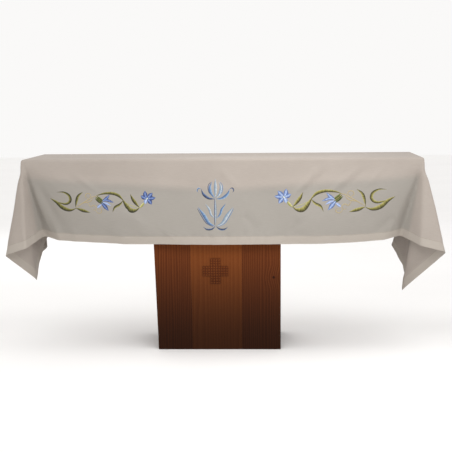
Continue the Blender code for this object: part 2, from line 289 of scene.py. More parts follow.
# Where a point of the flat cloth hangs, before its edges are softened
def creased_point(x, y):
    place = np.zeros((len(x), 3))
    for (side_x, side_y), corner in CORNERS.items():
        mine = (np.where(x < 0, -1, 1) == side_x) & (np.where(y < END_SPLIT_Y, -1, 1) == side_y)
        if not mine.any():
            continue
        offset = corner.hang(side_x * x[mine] - HALF_LENGTH, side_y * y[mine] - HALF_DEPTH)
        place[mine, 0] = side_x * (HALF_LENGTH + offset[:, 0])
        place[mine, 1] = side_y * (HALF_DEPTH - offset[:, 1])
        place[mine, 2] = CLOTH_Z + offset[:, 2]
    front = -y - HALF_DEPTH
    back = y - HALF_DEPTH
    place[:, 1] -= np.where(front > 0, swell(x, front, FRONT_SWELLS), 0.0)
    place[:, 1] += np.where(back > 0, swell(x, back, BACK_SWELLS), 0.0)
    return place


# Cloth surface, softened by averaging over a small square of cloth
def cloth_point(flat):
    flat = np.asarray(flat, dtype=float)
    offsets = np.linspace(-EDGE_SOFTNESS, EDGE_SOFTNESS, SOFTENING_POINTS)
    total = np.zeros((len(flat), 3))
    for shift_x in offsets:
        for shift_y in offsets:
            total += creased_point(flat[:, 0] + shift_x, flat[:, 1] + shift_y)
    return total / len(offsets) ** 2


# Points and faces of the flat cloth, each point kept once
class Sheet:
    def __init__(self):
        self.keys = {}
        self.flat = []
        self.faces = []

    def vertex(self, x, y):
        key = (round(x * POINTS_PER_METRE), round(y * POINTS_PER_METRE))
        if key not in self.keys:
            self.keys[key] = len(self.flat)
            self.flat.append((x, y))
        return self.keys[key]

    def patch(self, columns):
        rows = [[self.vertex(x, y) for x, y in column] for column in columns]
        for left, right in zip(rows[:-1], rows[1:]):
            for k in range(len(left) - 1):
                corners = [left[k], left[k + 1], right[k + 1], right[k]]
                corners = [c for n, c in enumerate(corners) if c != corners[n - 1]]
                if len(corners) > 2:
                    self.faces.append(corners)


def between(start, stop, shares):
    return [(start[0] + (stop[0] - start[0]) * s, start[1] + (stop[1] - start[1]) * s) for s in shares]


# An sRGB hex colour as linear values

def hex_colour(code):
    channels = [int(code[k : k + 2], 16) / 255 for k in (1, 3, 5)]
    linear = [c / 12.92 if c <= 0.04045 else ((c + 0.055) / 1.055) ** 2.4 for c in channels]
    return (*linear, 1.0)


# One node with its settings, its inputs as values, hex colours or sockets, and a ramp's colours
def add_node(tree, kind, inputs=None, stops=None, **settings):
    node = tree.nodes.new("ShaderNode" + kind)
    for name, value in settings.items():
        setattr(node, name, value)
    for key, value in (inputs or {}).items():
        if isinstance(value, bpy.types.NodeSocket):
            tree.links.new(value, node.inputs[key])
        else:
            node.inputs[key].default_value = hex_colour(value) if isinstance(value, str) else value
    for k, (place, code) in enumerate(stops or []):
        elements = node.color_ramp.elements
        element = elements[k] if k < 2 else elements.new(place)
        element.position = place
        element.color = hex_colour(code)
    return node


def new_material(name, roughness, specular=0.5):
    made = bpy.data.materials.new(name)
    made.use_nodes = True
    shader = made.node_tree.nodes["Principled BSDF"]
    shader.inputs["Roughness"].default_value = roughness
    shader.inputs["Specular IOR Level"].default_value = specular
    return made, made.node_tree, shader


# Soft creases of the linen on the flat cloth: name, start x, start drop, end x, end drop, half width, height
FRONT_CREASES = [
    ("left_pull", -0.970, 0.03, -0.800, 0.400, 0.024, -0.0060),
    ("left_pull_ridge", -0.985, 0.04, -0.880, 0.420, 0.018, 0.0060),
    ("press_left", -0.960, 0.096, 0.000, 0.150, 0.024, 0.0052),
    ("press_right", 0.000, 0.150, 0.960, 0.092, 0.024, 0.0052),
    ("left_dent", -0.740, 0.065, -0.610, 0.175, 0.015, 0.0052),
    ("left_low_trough", -0.560, 0.300, -0.600, 0.410, 0.018, -0.0040),
    ("left_low_slant", -0.480, 0.250, -0.330, 0.415, 0.030, 0.0052),
    ("middle_pull", -0.015, 0.045, 0.090, 0.155, 0.014, 0.0040),
    ("low_middle_trough", 0.095, 0.265, 0.190, 0.370, 0.022, -0.0056),
    ("first_right_pull", 0.340, 0.195, 0.495, 0.040, 0.015, 0.0068),
    ("first_right_trough", 0.380, 0.205, 0.525, 0.055, 0.014, -0.0048),
    ("second_right_pull", 0.515, 0.190, 0.685, 0.040, 0.015, 0.0060),
    ("second_right_trough", 0.560, 0.195, 0.715, 0.055, 0.014, -0.0040),
    ("third_right_pull", 0.705, 0.160, 0.800, 0.040, 0.014, 0.0048),
    ("low_right_trough", 0.330, 0.400, 0.395, 0.295, 0.019, -0.0056),
    ("low_outer_trough", 0.765, 0.395, 0.880, 0.295, 0.021, -0.0056),
]
BACK_CREASES = [
    ("left_pull", -0.960, 0.02, -0.740, 0.340, 0.028, -0.0060),
    ("middle_slant", -0.150, 0.120, -0.020, 0.330, 0.030, 0.0040),
    ("right_pull", 0.960, 0.02, 0.750, 0.350, 0.028, -0.0060),
]
# Share of a crease's length over which it fades at each end
CREASE_FADE = 0.25
# Ripples of the hem: wave length, height, start
HEM_RIPPLES = [
    (0.047, 0.00110, 0.4),
    (0.083, 0.00150, 2.1),
    (0.139, 0.00160, 4.4),
]
# Broad unevenness of the hanging cloth: wave length along, wave length down, height, start
CLOTH_WAVES = [
    (0.61, 0.90, 0.0016, 0.7),
    (0.37, -0.70, 0.0011, 2.9),
    (0.23, 0.45, 0.0006, 5.2),
]
# The turned hem's height and the width of its step, and how far its ripples reach from both its edges
HEM_RAISE = 0.0006
HEM_STEP = 0.003
RIPPLE_REACH_UPPER = 0.022
RIPPLE_REACH_LOWER = 0.020
RIPPLE_LOWER_SHARE = 0.6
# How unevenly the ripples follow each other
RIPPLE_WANDER = 1.3
RIPPLE_WANDER_RATE = 7
# Waves grow from just under the board's edge
WAVE_START = 0.02
WAVE_GROWTH = 0.10
# No relief close to a corner point, where the folds lie together
CALM_BOX = 0.2
CALM_START = 0.10
CALM_GROWTH = 0.15


# Height of the soft creases, each a rounded trough or ridge that fades at both ends
def crease_height(x, drop, rows):
    height = np.zeros_like(x)
    for _, x0, d0, x1, d1, half_width, peak in rows:
        along = np.array([x1 - x0, d1 - d0])
        length = np.linalg.norm(along)
        along /= length
        share = ((x - x0) * along[0] + (drop - d0) * along[1]) / length
        aside = (drop - d0) * along[0] - (x - x0) * along[1]
        ends = smooth_step(share / CREASE_FADE) * smooth_step((1 - share) / CREASE_FADE)
        height += peak * ends * np.exp(-((aside / half_width) ** 2))
    return height


# Distance on the flat cloth from the nearest of its four hems
def hem_distance(x, y):
    left = x + HALF_LENGTH + LEFT_DROP
    right = HALF_LENGTH + RIGHT_DROP - x
    front = y + HALF_DEPTH + FRONT_DROP
    back = HALF_DEPTH + BACK_DROP - y
    return np.min([left, right, front, back], axis=0)


# Fine relief of the cloth above its fold surface: the turned hem, its ripples, creases and waves
def relief(x, y):
    past_end = np.abs(x) - HALF_LENGTH
    past_side = np.abs(y) - HALF_DEPTH
    edge = hem_distance(x, y)
    drop = np.max([past_end, past_side], axis=0)
    hanging = smooth_step((drop - WAVE_START) / WAVE_GROWTH)
    height = HEM_RAISE * smooth_step((HEM_WIDTH - edge) / HEM_STEP)
    near_upper = np.exp(-(((edge - HEM_WIDTH) / RIPPLE_REACH_UPPER) ** 2))
    near_hem = near_upper + RIPPLE_LOWER_SHARE * np.exp(-((edge / RIPPLE_REACH_LOWER) ** 2))
    along = np.where(past_end > past_side, y, x)
    for length, peak, start in HEM_RIPPLES:
        wander = RIPPLE_WANDER * np.sin(along * RIPPLE_WANDER_RATE + start)
        height += peak * near_hem * np.sin(2 * math.pi * along / length + start + wander)
    for across, down, peak, start in CLOTH_WAVES:
        height += peak * hanging * np.sin(2 * math.pi * (x / across + y / down) + start)
    height += np.where(y < -HALF_DEPTH, crease_height(x, -y - HALF_DEPTH, FRONT_CREASES), 0.0)
    height += np.where(y > HALF_DEPTH, crease_height(x, y - HALF_DEPTH, BACK_CREASES), 0.0)
    folded = (np.abs(x) > HALF_LENGTH - CALM_BOX) & (np.abs(y) > HALF_DEPTH - CALM_BOX)
    from_corner = np.hypot(past_end, past_side)
    calm = np.where(folded, smooth_step((from_corner - CALM_START) / CALM_GROWTH), 1.0)
    return height * calm


# Direction straight out of the cloth
def surface_normal(flat):
    step = 0.002
    along = cloth_point(flat + [step, 0]) - cloth_point(flat - [step, 0])
    over = cloth_point(flat + [0, step]) - cloth_point(flat - [0, step])
    normal = np.cross(along, over)
    return normal / np.maximum(np.linalg.norm(normal, axis=1), 1e-12)[:, None]


# Where a point of the flat cloth lies, lifted above its surface
def linen_point(flat, lift=0.0):
    flat = np.asarray(flat, dtype=float)
    height = relief(flat[:, 0], flat[:, 1]) + lift
    place = cloth_point(flat) + surface_normal(flat) * height[:, None]
    place[:, 1] -= ORIGIN_BACK
    return place


# Rows from the board's edge to the hem, closest at the edge and at the turned hem's upper edge
def drop_rows(drop):
    near = [0.0, 0.003, 0.006, 0.009, 0.012, 0.016, 0.022, 0.032, 0.046, 0.066]
    hem = [HEM_WIDTH + 0.004, HEM_WIDTH + 0.0005, HEM_WIDTH - 0.003, 0.032, 0.020, 0.009, 0.002, 0.0]
    middle = np.linspace(near[-1], drop - hem[0], MIDDLE_ROWS)[1:-1]
    return np.concatenate([near, middle, [drop - row for row in hem]]) / drop


# Lines across the top, closest beside its edges
def fine_edge_lines(half, count):
    edge = [0.0, 0.003, 0.006, 0.010, 0.015, 0.024]
    middle = np.linspace(-half + edge[-1], half - edge[-1], count)
    return [-half + row for row in edge[:-1]] + list(middle) + [half - row for row in edge[:-1]][::-1]


# Rays of a corner's fan, closest where the cloth turns sharply
def fan_angles(corner, count):
    crowding = 6.0
    sharpest = 0.5
    bend = np.linalg.norm(np.gradient(np.gradient(corner.direction, axis=0), axis=0), axis=1)
    density = 1 + crowding * np.minimum(bend / bend.max(), sharpest)
    steps = np.concatenate([[0], np.cumsum(np.diff(corner.angle) * (density[1:] + density[:-1]) / 2)])
    angles = np.interp(np.linspace(0, steps[-1], count), steps, corner.angle)
    angles[np.argmin(np.abs(angles - corner.tip))] = corner.tip
    return angles


# The flat cloth as a net: its top, a fan at each corner and the four hanging sides
def linen_sheet(fan_count, long_count, end_count):
    sheet = Sheet()
    xs = fine_edge_lines(HALF_LENGTH, long_count)
    ys = fine_edge_lines(HALF_DEPTH, end_count)
    sheet.patch([[(x, y) for y in ys] for x in xs])
    hems = {}
    for key, corner in CORNERS.items():
        angles = fan_angles(corner, fan_count)
        apex = corner.flat_point(0, 0)
        columns = []
        for angle in angles:
            drop = corner.panel_drop if angle <= corner.tip else corner.end_drop
            hem_point = corner.flat_point(angle, corner.hem_radius(angle))
            columns.append(between(apex, hem_point, drop_rows(drop)))
        sheet.patch(columns)
        hems[key] = (columns[0][-1], columns[-1][-1])
    for side_y in (-1, 1):
        left = hems[(-1, side_y)][0]
        right = hems[(1, side_y)][0]
        rows = drop_rows(FRONT_DROP if side_y < 0 else BACK_DROP)
        columns = []
        for x in xs:
            share = (x + HALF_LENGTH) / (2 * HALF_LENGTH)
            hem_point = (left[0] + (right[0] - left[0]) * share, left[1])
            columns.append(between((x, side_y * HALF_DEPTH), hem_point, rows))
        sheet.patch(columns)
    for side_x in (-1, 1):
        front = hems[(side_x, -1)][1]
        back = hems[(side_x, 1)][1]
        rows = drop_rows(LEFT_DROP if side_x < 0 else RIGHT_DROP)
        columns = []
        for y in ys:
            share = (y + HALF_DEPTH) / (2 * HALF_DEPTH)
            hem_point = (front[0], front[1] + (back[1] - front[1]) * share)
            columns.append(between((side_x * HALF_LENGTH, y), hem_point, rows))
        sheet.patch(columns)
    return sheet


# The linen: one thin sheet, its UV map the flat cloth in metres
def make_linen(linen):
    sheet = linen_sheet(fan_count=126, long_count=150, end_count=26)
    flat = np.array(sheet.flat)
    mesh = bpy.data.meshes.new("embroidered_altar_cloth")
    mesh.from_pydata(linen_point(flat).tolist(), [], sheet.faces)
    uv = mesh.uv_layers.new(name="flat_cloth")
    loops = np.zeros(len(mesh.loops), dtype=int)
    mesh.loops.foreach_get("vertex_index", loops)
    uv.data.foreach_set("uv", flat[loops].ravel())
    cloth = bpy.data.objects.new("embroidered_altar_cloth", mesh)
    bpy.context.scene.collection.objects.link(cloth)
    only(cloth)
    bpy.ops.object.mode_set(mode="EDIT")
    bpy.ops.mesh.select_all(action="SELECT")
    bpy.ops.mesh.normals_make_consistent(inside=False)
    bpy.ops.object.mode_set(mode="OBJECT")
    top = max(mesh.polygons, key=lambda face: face.area)
    if top.normal.z < 0:
        mesh.flip_normals()
    wall = cloth.modifiers.new("thickness", "SOLIDIFY")
    wall.thickness = LINEN_THICK
    wall.offset = 0
    bpy.ops.object.modifier_apply(modifier=wall.name)
    bpy.ops.object.shade_smooth_by_angle(angle=math.radians(50))
    cloth.data.materials.append(linen)
    return cloth


# One object selected and active
def only(thing):
    bpy.ops.object.select_all(action="DESELECT")
    thing.select_set(True)
    bpy.context.view_layer.objects.active = thing


# Stitched shapes: steps between two points of a line, and the half width from which a shape is a broad one
SPAN_STEPS = 24
BROAD_SHAPE = 0.003
# How round a broad shape is towards its start and its end
START_ROUNDNESS = 0.9
END_ROUNDNESS = 1.3
# Roundness of the padding under the stitches, the half width for its full height, and its tucked edge
PAD_ROUNDNESS = 0.6
FULL_PAD = 0.004
EDGE_TUCK = 0.00025
CENTIMETRES = 100
MILLIMETRES = 1000


# Smooth line through control points, as even steps
def smooth_line(points, count):
    points = np.array(points, dtype=float)
    ends = np.vstack([2 * points[0] - points[1], points, 2 * points[-1] - points[-2]])
    t = np.linspace(0, 1, SPAN_STEPS, endpoint=False)[:, None]
    line = []
    for k in range(len(points) - 1):
        p0, p1, p2, p3 = ends[k : k + 4]
        slope = (p2 - p0) * t
        square = (2 * p0 - 5 * p1 + 4 * p2 - p3) * t**2
        cube = (3 * p1 - p0 - 3 * p2 + p3) * t**3
        line.append(0.5 * (2 * p1 + slope + square + cube))
    line = np.vstack(line + [points[-1:]])
    length = np.concatenate([[0], np.cumsum(np.linalg.norm(np.diff(line, axis=0), axis=1))])
    even = np.linspace(0, length[-1], count)
    return np.column_stack([np.interp(even, length, line[:, k]) for k in range(2)]), length[-1]


# One stitched shape on the cloth: a grid shaped to a line, widest at its belly, raised in the middle
def stitched_shape(name, points, half_width, belly, height, steps, across, placed, made):
    line, length = smooth_line(points, steps + 1)
    tangent = np.gradient(line, axis=0)
    tangent /= np.linalg.norm(tangent, axis=1)[:, None]
    side = np.column_stack([-tangent[:, 1], tangent[:, 0]])
    share = np.linspace(0, 1, steps + 1)
    rise = np.clip(share / max(belly, 1e-3), 0, 1)
    fall = np.clip((1 - share) / max(1 - belly, 1e-3), 0, 1)
    bow = np.sin(np.minimum(rise, fall) * math.pi / 2)
    if half_width > BROAD_SHAPE:
        pointed = np.where(rise < fall, START_ROUNDNESS, END_ROUNDNESS)
        width = half_width * (bow**pointed * 0.94 + 0.06)
    else:
        width = half_width * (0.55 + 0.45 * bow)
    bpy.ops.mesh.primitive_grid_add(x_subdivisions=steps, y_subdivisions=across, size=2)
    shape = bpy.context.object
    shape.name = name
    mesh = shape.data
    co = np.zeros(len(mesh.vertices) * 3)
    mesh.vertices.foreach_get("co", co)
    co = co.reshape(-1, 3)
    k = np.rint((co[:, 0] + 1) / 2 * steps).astype(int)
    t = co[:, 1]
    local = line[k] + side[k] * (width[k] * t)[:, None]
    pad = height * (1 - t**2) ** PAD_ROUNDNESS * np.minimum(1, width[k] / FULL_PAD) ** 0.5
    lift = pad - EDGE_TUCK * (np.abs(t) > 0.99)
    mesh.vertices.foreach_set("co", linen_point(placed(local), LINEN_THICK / 2 + lift).ravel())
    # The shape's own UV map runs along it in centimetres
    stitch = mesh.uv_layers.active
    uv = np.zeros(len(mesh.loops) * 2)
    stitch.data.foreach_get("uv", uv)
    uv = uv.reshape(-1, 2)
    uv[:, 0] *= length * CENTIMETRES
    stitch.data.foreach_set("uv", uv.ravel())
    stitch.name = "stitch"
    mesh.materials.append(made)
    outwards(mesh)
    return shape


# Every face of a shape on the front panel points to the front
def outwards(mesh):
    mesh.update()
    if sum(face.normal.y for face in mesh.polygons) > 0:
        mesh.flip_normals()


# Shapes of one thing as one smooth object
def join_shapes(shapes, name):
    bpy.ops.object.select_all(action="DESELECT")
    for shape in shapes:
        shape.select_set(True)
    bpy.context.view_layer.objects.active = shapes[0]
    bpy.ops.object.join()
    joined = bpy.context.object
    joined.name = name
    joined.data.name = name
    bpy.ops.object.shade_smooth()
    return joined


# The hem's line of stitches: its distance inside the hem's upper edge, and half its drawn width
SEAM_INSIDE = 0.0035
SEAM_HALF_WIDTH = 0.0008
# Softness of the painted shade's edge at the press line, above and below it, and the end of the painted shade
# on the front beside the table's ends
PRESS_ABOVE = -0.018
PRESS_BELOW = 0.030
SHADE_NONE_X = 1.005
SHADE_FULL_X = 0.965


# Cream linen: a matt plain weave, its turned hem two layers thick and so paler, with one line of stitching
def linen_material():
    made, tree, shader = new_material("cream_linen_weave", 0.92, 0.08)
    flat = add_node(tree, "UVMap", uv_map="flat_cloth").outputs[0]
    place = add_node(tree, "SeparateXYZ", {0: flat})
    x, y = place.outputs[0], place.outputs[1]
    left = add_node(tree, "Math", {0: x, 1: HALF_LENGTH + LEFT_DROP}, operation="ADD").outputs[0]
    right = add_node(tree, "Math", {0: HALF_LENGTH + RIGHT_DROP, 1: x}, operation="SUBTRACT").outputs[0]
    front = add_node(tree, "Math", {0: y, 1: HALF_DEPTH + FRONT_DROP}, operation="ADD").outputs[0]
    back = add_node(tree, "Math", {0: HALF_DEPTH + BACK_DROP, 1: y}, operation="SUBTRACT").outputs[0]
    sides = add_node(tree, "Math", {0: left, 1: right}, operation="MINIMUM").outputs[0]
    ends = add_node(tree, "Math", {0: front, 1: back}, operation="MINIMUM").outputs[0]
    edge = add_node(tree, "Math", {0: sides, 1: ends}, operation="MINIMUM").outputs[0]
    step = {"Value": edge, "From Min": HEM_WIDTH, "From Max": HEM_WIDTH - HEM_STEP}
    hem = add_node(tree, "MapRange", step).outputs[0]
    # Sewing thread is 0.4 mm thick and sits inside the hem's upper edge, drawn 1.6 mm wide to show; its
    # darker colour is the thread and painted shade of the sunken stitches
    seam = {0: edge, 1: HEM_WIDTH - SEAM_INSIDE, 2: SEAM_HALF_WIDTH}
    line = add_node(tree, "Math", seam, operation="COMPARE").outputs[0]
    # Linen yarns are 0.5 mm apart, drawn at 3.2 mm (scale 98) so that they show from close by
    yarns = {"Vector": flat, "Scale": 98.0, "Distortion": 1.2, "Detail": 2.0, "Detail Scale": 3.0}
    warp = add_node(tree, "TexWave", yarns, wave_type="BANDS", bands_direction="X").outputs["Fac"]
    weft = add_node(tree, "TexWave", yarns, wave_type="BANDS", bands_direction="Y").outputs["Fac"]
    weave = add_node(tree, "Math", {0: warp, 1: weft}, operation="ADD").outputs[0]
    # Slubs: yarns of uneven thickness, a few centimetres long
    stretched = add_node(tree, "Mapping", {"Vector": flat, "Scale": (30.0, 400.0, 1.0)}).outputs[0]
    slubs = add_node(tree, "TexNoise", {"Vector": stretched, "Scale": 1.0, "Detail": 3.0}).outputs["Fac"]
    # Faintly greyer patches about 0.4 m across
    patches = {"Vector": flat, "Scale": 2.4, "Detail": 3.0, "Roughness": 0.55}
    cloud = add_node(tree, "TexNoise", patches).outputs["Fac"]
    creams = [(0.30, "#A29991"), (0.70, "#A9A098")]
    tone = add_node(tree, "ValToRGB", {"Fac": cloud}, creams).outputs["Color"]
    # Below a bent press line, highest towards the ends, the front is painted a darker grey: painted shade
    middle = add_node(tree, "Math", {0: x}, operation="ABSOLUTE").outputs[0]
    press = {0: middle, 1: PRESS_SLANT, 2: FRONT_DROP - PRESS_DROP}
    below = add_node(tree, "Math", press, operation="MULTIPLY_ADD").outputs[0]
    under = add_node(tree, "Math", {0: below, 1: front}, operation="SUBTRACT").outputs[0]
    down = {"Value": under, "From Min": PRESS_ABOVE, "From Max": PRESS_BELOW}
    low = add_node(tree, "MapRange", down, interpolation_type="SMOOTHSTEP").outputs[0]
    inwards = {"Value": middle, "From Min": SHADE_NONE_X, "From Max": SHADE_FULL_X}
    panel = add_node(tree, "MapRange", inwards, interpolation_type="SMOOTHSTEP").outputs[0]
    on_front = add_node(tree, "Math", {0: y, 1: -HALF_DEPTH}, operation="LESS_THAN").outputs[0]
    front_panel = add_node(tree, "Math", {0: panel, 1: on_front}, operation="MULTIPLY").outputs[0]
    painted_shade = add_node(tree, "Math", {0: low, 1: front_panel}, operation="MULTIPLY").outputs[0]
    # Painted shade: the front below the press line is mixed towards #9C9790
    front_shaded = add_node(tree, "Mix", {0: painted_shade, 6: tone, 7: "#9C9790"}, data_type="RGBA").outputs[2]
    paler = add_node(tree, "Mix", {0: hem, 6: front_shaded, 7: "#ACA49B"}, data_type="RGBA").outputs[2]
    # The seam's darker colour: the thread, and painted shade of its sunken stitches
    thread = add_node(tree, "Mix", {0: line, 6: paler, 7: "#978E85"}, data_type="RGBA").outputs[2]
    flecks = {"Value": slubs, "From Min": 0.3, "From Max": 0.7, "To Min": 0.965, "To Max": 1.02}
    fleck = add_node(tree, "MapRange", flecks).outputs[0]
    flecked = {0: 1.0, 6: thread, 7: fleck}
    colour = add_node(tree, "Mix", flecked, data_type="RGBA", blend_type="MULTIPLY").outputs[2]
    tree.links.new(colour, shader.inputs["Base Color"])
    height = add_node(tree, "Math", {0: weave, 1: slubs}, operation="ADD").outputs[0]
    sewn = add_node(tree, "Math", {0: line, 1: -3.0, 2: height}, operation="MULTIPLY_ADD").outputs[0]
    bump = add_node(tree, "Bump", {"Height": sewn, "Distance": 0.0003, "Strength": 0.5})
    tree.links.new(bump.outputs[0], shader.inputs["Normal"])
    shader.inputs["Sheen Weight"].default_value = 0.06
    shader.inputs["Sheen Roughness"].default_value = 0.5
    return made


# Rayon embroidery thread: satin stitches laid side by side across a shape, glossy along the thread
def satin_thread(name, dark, middle, light, folded=False):
    made, tree, shader = new_material(name, 0.45, 0.4)
    stitch = add_node(tree, "UVMap", uv_map="stitch").outputs[0]
    place = add_node(tree, "SeparateXYZ", {0: stitch})
    leaning = {0: place.outputs[1], 1: 0.5, 2: place.outputs[0]}
    slant = add_node(tree, "Math", leaning, operation="MULTIPLY_ADD").outputs[0]
    threads = add_node(tree, "CombineXYZ", {0: slant}).outputs[0]
    # Threads are 0.4 mm wide, drawn at 1.6 mm (scale 2 in centimetres) so that they show
    side_by_side = {"Vector": threads, "Scale": 2.0, "Distortion": 0.8, "Detail": 2.0}
    satin = add_node(tree, "TexWave", side_by_side, wave_type="BANDS", bands_direction="X")
    rows = satin.outputs["Fac"]
    uneven = add_node(tree, "TexNoise", {"Vector": threads, "Scale": 1.3, "Detail": 3.0}).outputs["Fac"]
    # Long and short stitches blend the shades, from edge to edge of a leaf or from both edges of a petal
    across = place.outputs[1]
    if folded:
        across = add_node(tree, "Math", {0: across, 1: 0.5}, operation="PINGPONG").outputs[0]
        across = add_node(tree, "Math", {0: across, 1: 1.8}, operation="MULTIPLY").outputs[0]
    ragged = add_node(tree, "Math", {0: uneven, 1: across}, operation="ADD").outputs[0]
    ragged = add_node(tree, "Math", {0: ragged, 1: 0.5}, operation="MULTIPLY").outputs[0]
    dyes = [(0.36, dark), (0.74, light), (0.55, middle)]
    shades = add_node(tree, "ValToRGB", {"Fac": ragged}, dyes).outputs["Color"]
    # Painted sheen and shade: each row of stitches is lighter on its crown and darker between rows
    painted_row_sheen = add_node(tree, "MapRange", {"Value": rows, "To Min": 0.70, "To Max": 1.12}).outputs[0]
    glossy = {0: 1.0, 6: shades, 7: painted_row_sheen}
    colour = add_node(tree, "Mix", glossy, data_type="RGBA", blend_type="MULTIPLY").outputs[2]
    tree.links.new(colour, shader.inputs["Base Color"])
    bump = add_node(tree, "Bump", {"Height": rows, "Distance": 0.0004, "Strength": 0.7})
    tree.links.new(bump.outputs[0], shader.inputs["Normal"])
    return made


# Stained softwood: planed boards under a thin red-brown stain, so the late wood stands out as dark lines
def stained_wood(name, early, late, ring_scale, knot=None):
    made, tree, shader = new_material(name, 0.55, 0.08)
    place = add_node(tree, "TexCoord").outputs["Object"]
    axes = add_node(tree, "SeparateXYZ", {0: place})
    drawn = add_node(tree, "Mapping", {"Vector": place, "Scale": (1.0, 1.0, 0.06)}).outputs[0]
    drift = add_node(tree, "TexNoise", {"Vector": drawn, "Scale": 7.0, "Detail": 3.0}).outputs["Fac"]
    shift = add_node(tree, "Math", {0: drift, 1: 0.10}, operation="MULTIPLY").outputs[0]
    aside = add_node(tree, "Math", {0: axes.outputs[0], 1: axes.outputs[1]}, operation="ADD").outputs[0]
    across = add_node(tree, "Math", {0: aside, 1: shift}, operation="ADD").outputs[0]
    if knot:
        # Grain bends round a small knot, up to 70 mm away
        away = add_node(tree, "CombineXYZ", {0: axes.outputs[0], 1: 0.0, 2: axes.outputs[2]}).outputs[0]
        to_knot = {0: away, 1: (knot[0], 0.0, knot[1])}
        far = add_node(tree, "VectorMath", to_knot, operation="DISTANCE").outputs["Value"]
        bending = {"Value": far, "From Min": 0.0, "From Max": 0.07, "To Min": 0.014, "To Max": 0.0}
        bend = add_node(tree, "MapRange", bending, interpolation_type="SMOOTHSTEP").outputs[0]
        across = add_node(tree, "Math", {0: across, 1: bend}, operation="ADD").outputs[0]
    ring_place = add_node(tree, "CombineXYZ", {0: across}).outputs[0]
    # Growth rings of a flat sawn board, 12 to 17 mm apart on its face (scales 26 to 18)
    ring = {"Vector": ring_place, "Scale": ring_scale, "Distortion": 2.2, "Detail": 3.0, "Detail Scale": 1.4}
    sawn = {"wave_type": "BANDS", "bands_direction": "X", "wave_profile": "SAW"}
    rings = add_node(tree, "TexWave", ring, **sawn).outputs["Fac"]
    # Fibres are finer than 0.1 mm, drawn some 2 mm wide
    fine = add_node(tree, "Mapping", {"Vector": place, "Scale": (420.0, 420.0, 6.0)}).outputs[0]
    fibre = add_node(tree, "TexNoise", {"Vector": fine, "Scale": 1.0, "Detail": 2.0}).outputs["Fac"]
    grain = add_node(tree, "Math", {0: fibre, 1: 0.45, 2: rings}, operation="MULTIPLY_ADD").outputs[0]
    wood = add_node(tree, "ValToRGB", {"Fac": grain}, [(0.15, early), (1.0, late)]).outputs["Color"]
    if knot:
        darkening = {"Value": far, "From Min": 0.0045, "From Max": 0.0085, "To Min": 0.8, "To Max": 0.0}
        core = add_node(tree, "MapRange", darkening).outputs[0]
        wood = add_node(tree, "Mix", {0: core, 6: wood, 7: "#241008"}, data_type="RGBA").outputs[2]
    # Painted shade: the wood is darker towards the foot
    upwards = {"Value": axes.outputs[2], "From Min": 0.04, "From Max": 0.56}
    above = add_node(tree, "MapRange", upwards).outputs[0]
    paler = add_node(tree, "Math", {0: above, 1: 1.7}, operation="POWER").outputs[0]
    painted_foot_shade = add_node(tree, "Math", {0: paler, 1: 0.88, 2: 0.16}, operation="MULTIPLY_ADD").outputs[0]
    foot_shaded = {0: 1.0, 6: wood, 7: painted_foot_shade}
    colour = add_node(tree, "Mix", foot_shaded, data_type="RGBA", blend_type="MULTIPLY").outputs[2]
    tree.links.new(colour, shader.inputs["Base Color"])
    bump = add_node(tree, "Bump", {"Height": grain, "Distance": 0.0003, "Strength": 0.5})
    tree.links.new(bump.outputs[0], shader.inputs["Normal"])
    return made


